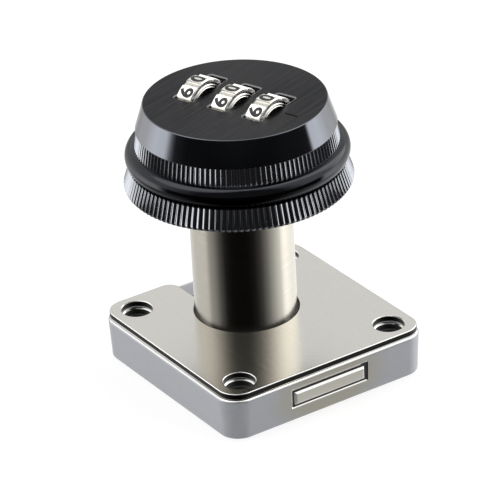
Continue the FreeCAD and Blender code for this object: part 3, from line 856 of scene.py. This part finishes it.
# %% Bolt window and channel
window_half_y = 8.2
window_middle_y = -0.17
window_low_z = 2.7
window_high_z = 6.45
wall_flare = 0.17
way_corner = 0.25
small_corner_steps = 3
channel_gap = 0.12
bolt_seat_gap = 0.05
case_wall = 2.0
bolt_low, bolt_high = (1000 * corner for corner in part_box("bolt"))
bolt_middle = (bolt_low.y + bolt_high.y) / 2
bolt_half_y = (bolt_high.y - bolt_low.y) / 2
wall_x = case_centre_x + case_half_x
wall_inside = wall_x - case_top * case_draft - case_wall


def wall_cutter_outline(x, wider, middle, half_y, low, high, lean=0.0):
    """Outline of the bolt's way at one depth, leaning with the wall where it meets it."""
    outline = rounded_outline(
        half_y + wider, (high - low) / 2 + wider, way_corner,
        (middle, (high + low) / 2), small_corner_steps)
    return [(x - lean * (case_top - z), y, z) for y, z in outline]


channel = (bolt_middle, bolt_half_y + channel_gap, bolt_low.z - bolt_seat_gap, flange_low)
window = (window_middle_y, window_half_y, window_low_z, window_high_z)
bolt_way = [
    wall_cutter_outline(bolt_low.x - 2 * channel_gap, 0.0, *channel),
    wall_cutter_outline(wall_inside, 0.0, *channel),
    wall_cutter_outline(wall_inside, 0.0, *window),
    wall_cutter_outline(wall_x - wall_flare, 0.0, *window, case_draft),
    wall_cutter_outline(wall_x, wall_flare, *window, case_draft),
    wall_cutter_outline(wall_x + past, wall_flare + past, *window, case_draft),
]
# The walls of the channel and of the window get the painted shade.
cut(case, [loft("bolt_way", bolt_way)], painted_shade)

# %% Finish of the flare
flare_lean = (0.3, 0.95)
flare_heights = (window_low_z - wall_flare, case_top - rim_round)
# The flare round the bolt window gets the painted highlight.
paint(case, edge_highlight, lambda normal, spot: (
    within(normal.x, flare_lean) and within(spot.z, flare_heights)
    and spot.x > wall_x - past
    and abs(spot.y - window_middle_y) < window_half_y + wall_flare))
dress(case, "housing", ["case"])

# %% [markdown]
# ## Bolt
# The bolt is a flat bar that shows its nose in the window. Its edges were broken with a
# file, so they catch the light, and the upper bevel of the nose gets a lighter nickel as a
# painted highlight. The loft goes along the bar, and the last outlines shrink to make the
# bevel. Just behind the nose, where the bar lies in the shade of the window, a narrow band is
# painted dark as shade, and outlines the nose.

# %% Bolt
nose_edge = 0.4
nose_round = (0.12, 0.8)
tail_edge = 0.1
bolt_corner = 0.12
shade_band_width = 0.7
shade_band = (bolt_high.x - nose_edge - shade_band_width, bolt_high.x - nose_edge)
bolt_half_z = (bolt_high.z - bolt_low.z) / 2
bolt_middle_z = (bolt_high.z + bolt_low.z) / 2


def bolt_outline(x, inset):
    """Outline of the bar at one place along it."""
    outline = rounded_outline(
        bolt_half_y - inset, bolt_half_z - inset, bolt_corner,
        (bolt_middle, bolt_middle_z), small_corner_steps)
    return [(x, y, z) for y, z in outline]


bolt = loft("bolt_bar", [
    bolt_outline(bolt_low.x, tail_edge),
    bolt_outline(bolt_low.x + tail_edge, 0.0),
    bolt_outline(shade_band[0], 0.0),
    bolt_outline(shade_band[1], 0.0),
    bolt_outline(bolt_high.x - nose_round[0] * nose_edge, nose_round[1] * nose_edge),
    bolt_outline(bolt_high.x, nose_edge),
])
print("the nose stands at", round(bolt_high.x, 2), "mm")

# %% Finishes of the bolt
nose_lean = (0.2, 0.95)
upper_bevel = 0.3
bolt.data.materials.append(bolt_nickel)
# The band behind the nose is painted dark as shade, and the upper bevel of the nose gets the
# painted highlight.
paint(bolt, painted_shade, lambda normal, spot: within(spot.x, shade_band))
paint(bolt, edge_highlight, lambda normal, spot: (
    spot.x > shade_band[1] and within(normal.x, nose_lean) and normal.z > upper_bevel))
dress(bolt, "bolt", ["bolt"])

# %% [markdown]
# ## Top plate
# The plate is stamped sheet. Its outline runs round the outside, in at the notch, round the
# barrel and out again, and four round holes go through it. A filled 2D curve is made for
# this: it fills between its outlines, gives the sheet its thickness and rounds every edge
# at once, which a loft can't do.

# %% Outline of the top plate
plate_low, plate_high = (1000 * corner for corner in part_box("top_plate"))
plate_corner = 3.8
plate_hole = 9.8
plate_hole_centre = (0.25, 0.0)
plate_screw_hole = 2.9
screw_hole_points = 60
notch_half = 5.5
notch_corner = 2.5
notch_steps, hole_steps = 8, 120


def plate_outline():
    """C-shaped outline of the plate: outside, notch and barrel hole in one path."""
    left, right = plate_low.x, plate_high.x
    bottom, top = plate_low.y, plate_high.y
    corner_left, corner_right = left + plate_corner, right - plate_corner
    corner_low, corner_high = bottom + plate_corner, top - plate_corner
    upper = math.degrees(math.asin((notch_half - plate_hole_centre[1]) / plate_hole))
    lower = math.degrees(math.asin((notch_half + plate_hole_centre[1]) / plate_hole))
    flare = notch_half + notch_corner
    points = arc((left + notch_corner, -flare), notch_corner, 90, 180, notch_steps)
    points += arc((corner_left, corner_low), plate_corner, 180, 270, corner_steps)
    points += arc((corner_right, corner_low), plate_corner, 270, 360, corner_steps)
    points += arc((corner_right, corner_high), plate_corner, 0, 90, corner_steps)
    points += arc((corner_left, corner_high), plate_corner, 90, 180, corner_steps)
    points += arc((left + notch_corner, flare), notch_corner, 180, 270, notch_steps)
    points += arc(plate_hole_centre, plate_hole, 180 - upper, lower - 180, hole_steps)
    return points


plate_paths = [plate_outline()]
for place in fixing_places:
    last_angle = 360 - 360 / screw_hole_points
    plate_paths.append(
        arc(place, plate_screw_hole, 0, last_angle, screw_hole_points - 1))
print("paths of the plate:", len(plate_paths))

# %% Top plate
plate_edge = 0.22
weld_reach = 0.001
sheet = bpy.data.curves.new("top_plate_sheet", "CURVE")
sheet.dimensions = "2D"
sheet.fill_mode = "BOTH"
sheet.extrude = ((plate_high.z - plate_low.z) / 2 - plate_edge) * mm
sheet.bevel_depth = plate_edge * mm
sheet.bevel_resolution = 3
sheet.offset = -plate_edge * mm
for path in plate_paths:
    spline = sheet.splines.new("POLY")
    spline.points.add(len(path) - 1)
    spline.use_cyclic_u = True
    for point, (x, y) in zip(spline.points, path):
        point.co = (x * mm, y * mm, 0.0, 1.0)
sheet_object = bpy.data.objects.new("sheet", sheet)
bpy.context.collection.objects.link(sheet_object)
view = bpy.context.evaluated_depsgraph_get()
plate_mesh = bpy.data.meshes.new_from_object(sheet_object.evaluated_get(view))
plate_mesh.transform(Matrix.Translation((0, 0, (plate_high.z + plate_low.z) / 2 * mm)))
bpy.data.objects.remove(sheet_object)
top_plate = bpy.data.objects.new("top_plate_stamped", plate_mesh)
bpy.context.collection.objects.link(top_plate)
weld = top_plate.modifiers.new("weld", "WELD")
weld.merge_threshold = weld_reach * mm
settle(top_plate)
print("plate size in mm:", [round(1000 * side, 3) for side in top_plate.dimensions])

# %% Finishes of the top plate
upper_edge_rise = (0.25, 0.95)
shaded_edge_rise = (-0.95, 0.25)
top_plate.data.materials.append(plate_nickel)
# The upper edges of the plate get the painted highlight, the lower edges the painted shade.
paint(top_plate, edge_highlight, lambda normal, spot: within(normal.z, upper_edge_rise))
paint(top_plate, plate_edge_shade, lambda normal, spot: within(normal.z, shaded_edge_rise))
dress(top_plate, "housing", ["top_plate"])

# %% [markdown]
# A turned barrel that is nearly a mirror would show the edge and the holes of the plate it
# stands on, drawn out into streaks. The real one shows none: only the studio. They could be
# hidden by a matter finish, but that would take the black out of the barrel as well, so the
# flat pieces at its foot are left out of what mirrors see.

# %% Out of the mirror image
flat_pieces = [case, bolt, top_plate]
for node_name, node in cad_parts.items():
    if 1000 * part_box(node_name)[1].z < plate_high.z:
        flat_pieces.append(node)
for piece in flat_pieces:
    piece.visible_glossy = False
print("pieces left out of mirror images:", len(flat_pieces))

# %% [markdown]
# ## Number dials
# A dial is a ring with ten smooth tiles, a ribbed strip between each two for the finger, and
# a groove turned in each side. The loft goes across the ring: each outline is the same
# wavy circle, pulled in by the bevel at the sides. The tiles stand a hair below the CAD
# ring, which leaves room for the paint of the figures.

# %% Round a dial
tile_count = 10
tile_pitch = 360 / tile_count
tile_radius = 6.185
tile_half_angle = 11.5
tile_half_steps = 6
tile_lead = 1.5
strip_radius = 5.78
rib_radius = 5.98
rib_count = 3


def dial_wave():
    """(angle, radius) pairs once round a dial."""
    pairs = []
    strip_start = tile_half_angle + tile_lead
    strip_span = tile_pitch - 2 * strip_start
    for tile in range(tile_count):
        middle = tile * tile_pitch
        for step in range(-tile_half_steps, tile_half_steps + 1):
            pairs.append((middle + tile_half_angle * step / tile_half_steps, tile_radius))
        for step in range(2 * rib_count + 1):
            radius = rib_radius if step % 2 else strip_radius
            along = middle + strip_start + strip_span * step / (2 * rib_count)
            pairs.append((along, radius))
    return pairs


def dial_loop(u, size):
    """Outline of a dial at one place along its axis; size turns a radius to a radius."""
    points = []
    for angle, radius in dial_wave():
        turn = math.radians(angle)
        reach = size(radius)
        points.append(on_row(u, reach * math.sin(turn), dial_axis_z + reach * math.cos(turn)))
    return points


print("points round a dial:", len(dial_wave()))

# %% [markdown]
# Each side of a dial is a list of steps from the bore outwards: how deep the step lies below
# the side, and its radius. The recess and the two fine grooves are all in it.

# %% Across a dial
dial_half = 1.7
side_edge = 0.2
sleeve_radius = 3.6
side_steps = [
    (0.0, sleeve_radius), (0.0, 3.7), (0.5, 3.7), (0.5, 4.45), (0.0, 4.45), (0.0, 4.55),
    (0.2, 4.75), (0.2, 4.85), (0.0, 4.85), (0.0, 4.95), (0.25, 5.2), (0.25, 5.45), (0.0, 5.45),
]
groove_lean = (0.4, 0.9)
half_side = [
    (dial_half - deep, lambda radius, fixed=fixed: fixed) for deep, fixed in side_steps
]
half_side += [
    (dial_half, lambda radius: radius - side_edge),
    (dial_half - side_edge, lambda radius: radius),
]


def in_side_groove(normal, spot):
    """True for the floor, the walls and the flat lands of the grooves in a dial's side."""
    reach = spot - Vector((0.0, 0.0, dial_axis_z))
    reach -= row_along * reach.dot(row_along)
    sideways = abs(normal.dot(row_along))
    return reach.length < side_steps[-1][1] + 2 * hair and not within(sideways, groove_lean)


for number, place in enumerate(dial_places, start=1):
    rows = [(-u, size) for u, size in half_side] + list(reversed(half_side))
    ring = loft(
        "number_ring_%d_plated" % number,
        [dial_loop(place + u, size) for u, size in rows], True)
    ring.data.materials.append(dial_nickel)
    # The floors, walls and lands of the side grooves are painted dark as shade.
    paint(ring, painted_shade, in_side_groove)
    dress(ring, "dial_%d" % number, ["number_ring_%d" % number])

# %% [markdown]
# ### Figures
# The figures are pressed into the tiles and filled with black. Blender's text object draws
# them, with a little offset that makes the strokes bold. A flat figure would cut through a
# round tile, so it is sliced into strips first and then bent round the dial. The figures
# stand with their heads towards the index mark, so the three dials are read one under the
# other, and from the bolt corner a nine looks like a six that has fallen over.

# %% One flat figure
figure_height = 2.9
figure_width = 2.3
figure_bold = 0.036
figure_body = 0.01
figure_slices = 12
font_figure_width = 0.47
font_weld_reach = 1e-5


def figure_mesh(character):
    """Flat bold figure, sliced across, as a small work mesh centred on the origin."""
    text = bpy.data.curves.new("figure", "FONT")
    text.body = character
    text.offset = figure_bold
    text.extrude = figure_body
    text.resolution_u = 5
    holder = bpy.data.objects.new("figure", text)
    bpy.context.collection.objects.link(holder)
    deps = bpy.context.evaluated_depsgraph_get()
    mesh = bpy.data.meshes.new_from_object(holder.evaluated_get(deps))
    bpy.data.objects.remove(holder)
    work = bmesh.new()
    work.from_mesh(mesh)
    bmesh.ops.remove_doubles(work, verts=work.verts, dist=font_weld_reach)
    low = [min(vert.co[axis] for vert in work.verts) for axis in range(3)]
    high = [max(vert.co[axis] for vert in work.verts) for axis in range(3)]
    stretch_x = figure_width / (font_figure_width + 2 * figure_bold)
    stretch_y = figure_height / (high[1] - low[1])
    for vert in work.verts:
        vert.co.x = (vert.co.x - (low[0] + high[0]) / 2) * stretch_x
        vert.co.y = (vert.co.y - (low[1] + high[1]) / 2) * stretch_y
    for step in range(1, figure_slices):
        x = figure_width * (step / figure_slices - 0.5)
        geometry = work.verts[:] + work.edges[:] + work.faces[:]
        bmesh.ops.bisect_plane(work, geom=geometry, plane_co=(x, 0, 0), plane_no=(1, 0, 0))
    return work


print("a figure is", figure_width, "mm wide and", figure_height, "mm high")

# %% Figures on the dials
figure_rise = 0.012


def add_figures(number, place):
    """All ten figures of one dial as one piece."""
    mesh = bpy.data.meshes.new("figures_%d" % number)
    whole = bmesh.new()
    for value in range(tile_count):
        work = figure_mesh(str(value))
        for vert in work.verts:
            reach = tile_radius + (figure_rise if vert.co.z > 0 else -figure_rise)
            turn = math.radians(value * tile_pitch) - vert.co.x / tile_radius
            vert.co = on_row(
                place + vert.co.y, reach * math.sin(turn),
                dial_axis_z + reach * math.cos(turn)) * mm
        part = bpy.data.meshes.new("part")
        work.to_mesh(part)
        work.free()
        whole.from_mesh(part)
    bmesh.ops.recalc_face_normals(whole, faces=whole.faces)
    whole.to_mesh(mesh)
    whole.free()
    figures = bpy.data.objects.new("figures_%d" % number, mesh)
    bpy.context.collection.objects.link(figures)
    figures.data.materials.append(figure_paint)
    dress(figures, "dial_%d" % number)


for number, place in enumerate(dial_places, start=1):
    add_figures(number, place)

# %% [markdown]
# ## Floor
# The lock stands on a white table. The table gives most of its own light, so that it is as
# white as paper, and keeps a part for the lamps, so that the lock leaves a soft shadow.
# Stronger lamps on a grey table would make it white too, but would burn out the lock. It
# lies just below the case, and mirrors don't see it.

# %% Floor
floor_size = 6.0
floor_glow = 0.8
floor_gap = 0.02
paper_tone = 0.3
floor_mesh = bpy.data.meshes.new("floor")
half = floor_size / 2
floor_mesh.from_pydata(
    [(-half, -half, 0), (half, -half, 0), (half, half, 0), (-half, half, 0)], [],
    [(0, 1, 2, 3)])
floor = bpy.data.objects.new("floor", floor_mesh)
floor.location.z = -floor_gap * mm
bpy.context.collection.objects.link(floor)
floor_paper = bpy.data.materials.new("white paper")
floor_paper.use_nodes = True
paper = floor_paper.node_tree.nodes["Principled BSDF"]
paper.inputs["Base Color"].default_value = (paper_tone, paper_tone, paper_tone, 1.0)
paper.inputs["Roughness"].default_value = 1.0
paper.inputs["Specular IOR Level"].default_value = 0.0
paper.inputs["Emission Strength"].default_value = floor_glow
paper.inputs["Emission Color"].default_value = (1.0, 1.0, 1.0, 1.0)
floor_mesh.materials.append(floor_paper)
floor.visible_glossy = False
print("floor is", floor_size, "m wide")

# %% [markdown]
# ## Studio light
# Shiny metal has no colour without something to mirror. A photographer stands a bright panel
# on each side, hangs one overhead, and keeps a dark cloth on the camera's side. The bright
# panels draw the white stripes on the flutes and the flanks, and the cloth draws the dark
# line down the middle of the barrel. Here the panels are painted on the world, by the
# direction that a ray goes. The camera itself sees a white wall.

# %% Direction of a ray
world = bpy.data.worlds.new("studio")
bpy.context.scene.world = world
world.use_nodes = True
world.cycles.sampling_method = "NONE"
world.node_tree.nodes.clear()
cloth_way = Vector((to_camera.x, to_camera.y, 0.0)).normalized()
direction = add_node(world, "ShaderNodeTexCoord").outputs["Generated"]
toward = add_node(
    world, "ShaderNodeVectorMath", {"operation": "DOT_PRODUCT", 1: cloth_way}, {0: direction})
sideways = add_node(
    world, "ShaderNodeVectorMath", {"operation": "DOT_PRODUCT", 1: flat_right}, {0: direction})
around = add_node(
    world, "ShaderNodeMath", {"operation": "ARCTAN2"},
    {0: sideways.outputs["Value"], 1: toward.outputs["Value"]})
around_share = add_node(
    world, "ShaderNodeMapRange", {"From Min": -math.pi, "From Max": math.pi},
    {"Value": around.outputs["Value"]})
rise = add_node(world, "ShaderNodeSeparateXYZ", None, {"Vector": direction}).outputs["Z"]
print("the cloth hangs towards", [round(value, 2) for value in cloth_way])

# %% [markdown]
# The studio is four rings of paint, one above the other: what a ray meets low down, at level
# height and high up, and what it meets when it has been mirrored twice, as in the picture of
# the barrel in the plate. Each ring is a list of pairs. The first number is how many
# degrees a place lies from the dark cloth, to the left (minus) or right, and the second is
# how bright it is, where 1 is the white wall. A colour ramp turns each list into a tone.

# %% Rings of the studio
brightest = 3.0
studio_rings = {
    "low": [
        (-180, 1.0), (-138, 0.7), (-110, 0.51), (-89, 0.46), (-72, 0.34), (-56, 0.1),
        (-42, 0.01), (-28, 0.001), (2, 0.001), (12, 0.002), (25, 0.009), (39, 0.05),
        (54, 0.21), (69, 0.51), (86, 0.9), (106, 1.35), (132, 1.2), (180, 1.1),
    ],
    "level": [
        (-180, 0.1), (-150, 0.6), (-123, 1.6), (-104, 2.9), (-88, 2.9), (-80, 0.6),
        (-75, 0.08), (-60, 0.03), (-10, 0.015), (10, 0.015), (48, 0.03), (87, 0.05),
        (91, 3.0), (104, 3.0), (123, 1.6), (150, 0.6), (180, 0.1),
    ],
    "high": [
        (-180, 0.9), (-150, 0.9), (-125, 1.3), (-90, 1.2), (-45, 0.15), (45, 0.15),
        (70, 1.3), (105, 1.5), (116, 3.0), (138, 3.0), (150, 0.9), (180, 0.9),
    ],
    "mirrored": [
        (-180, 0.9), (-116, 1.1), (-88, 0.95), (-65, 0.53), (-45, 0.17), (-28, 0.05),
        (5, 0.05), (27, 0.18), (45, 0.5), (65, 1.1), (88, 1.8), (116, 2.0), (180, 1.2),
    ],
}
ring_tone = {}
for ring_name, places in studio_rings.items():
    ramp = add_node(
        world, "ShaderNodeValToRGB", None, {"Fac": around_share.outputs["Result"]})
    stops = ramp.color_ramp.elements
    while len(stops) < len(places):
        stops.new(0.5)
    for stop, (degrees, tone) in zip(stops, places):
        stop.position = (degrees + 180) / 360
        stop.color = (tone / brightest, tone / brightest, tone / brightest, 1.0)
    ring_tone[ring_name] = ramp.outputs["Color"]
    print("ring", ring_name, "has", len(places), "places")

# %% [markdown]
# The rings are mixed by how steeply the ray rises: two bands of height in which one ring
# fades into the next. A ray that has met more than two surfaces gets the fourth ring.

# %% Mix the rings
low_to_level = {"From Min": -0.42, "From Max": -0.28}
level_to_high = {"From Min": 0.14, "From Max": 0.28}
surfaces_met = 2.5
rays = add_node(world, "ShaderNodeLightPath")
mixes = [
    ("lower half", low_to_level, "low", "level"),
    ("whole", level_to_high, "lower half", "high"),
]
for mix_name, limits, below, above in mixes:
    share = add_node(world, "ShaderNodeMapRange", limits, {"Value": rise})
    ring_tone[mix_name] = add_node(
        world, "ShaderNodeMix", {"data_type": "RGBA"},
        {0: share.outputs["Result"], 6: ring_tone[below], 7: ring_tone[above]}).outputs[2]
twice = add_node(
    world, "ShaderNodeMath", {"operation": "GREATER_THAN", 1: surfaces_met},
    {0: rays.outputs["Ray Depth"]})
painted = add_node(
    world, "ShaderNodeMix", {"data_type": "RGBA"},
    {0: twice.outputs["Value"], 6: ring_tone["whole"], 7: ring_tone["mirrored"]})
print("tones:", ", ".join(ring_tone))

# %% [markdown]
# The wall behind the rings is plain white to the camera, to mirrors and to glass, and a
# little dimmer as a lamp for the matt surfaces, so that a pale colour comes out as pale as
# it is written and doesn't burn out. The cloth and the panels hang in front of that wall
# for every ray but the camera's.

# %% World
wall_as_lamp = 0.8
mirrored_or_clear = add_node(
    world, "ShaderNodeMath", {"operation": "ADD", "use_clamp": True},
    {0: rays.outputs["Is Glossy Ray"], 1: rays.outputs["Is Transmission Ray"]})
wall_strength = add_node(
    world, "ShaderNodeMapRange",
    {"To Min": wall_as_lamp * brightest, "To Max": brightest},
    {"Value": mirrored_or_clear.outputs["Value"]})
studio_glow = add_node(
    world, "ShaderNodeBackground", None,
    {"Color": painted.outputs[2], "Strength": wall_strength.outputs["Result"]})
white_wall = add_node(world, "ShaderNodeBackground", {"Color": (1, 1, 1, 1), "Strength": 1.0})
seen = add_node(
    world, "ShaderNodeMixShader", None,
    {
        0: rays.outputs["Is Camera Ray"],
        1: studio_glow.outputs["Background"],
        2: white_wall.outputs["Background"],
    })
add_node(world, "ShaderNodeOutputWorld", None, {"Surface": seen.outputs["Shader"]})
print("world nodes:", len(world.node_tree.nodes))

# %% [markdown]
# The world alone would light the lock from everywhere at once, and nearly without shadow.
# A soft lamp overhead gives the shadow its direction and brings out the small edges.

# %% Lamp
lamp_place = Vector((-0.25, -0.2, 0.8))
lamp_data = bpy.data.lights.new("overhead_panel", "AREA")
lamp_data.shape = "DISK"
lamp_data.size = 0.8
lamp_data.energy = 1.8
lamp = bpy.data.objects.new("overhead_panel", lamp_data)
lamp.location = lamp_place
lamp.rotation_mode = "QUATERNION"
lamp.rotation_quaternion = lamp_place.to_track_quat("Z", "Y")
bpy.context.collection.objects.link(lamp)
print("lamp power in watts:", lamp_data.energy)
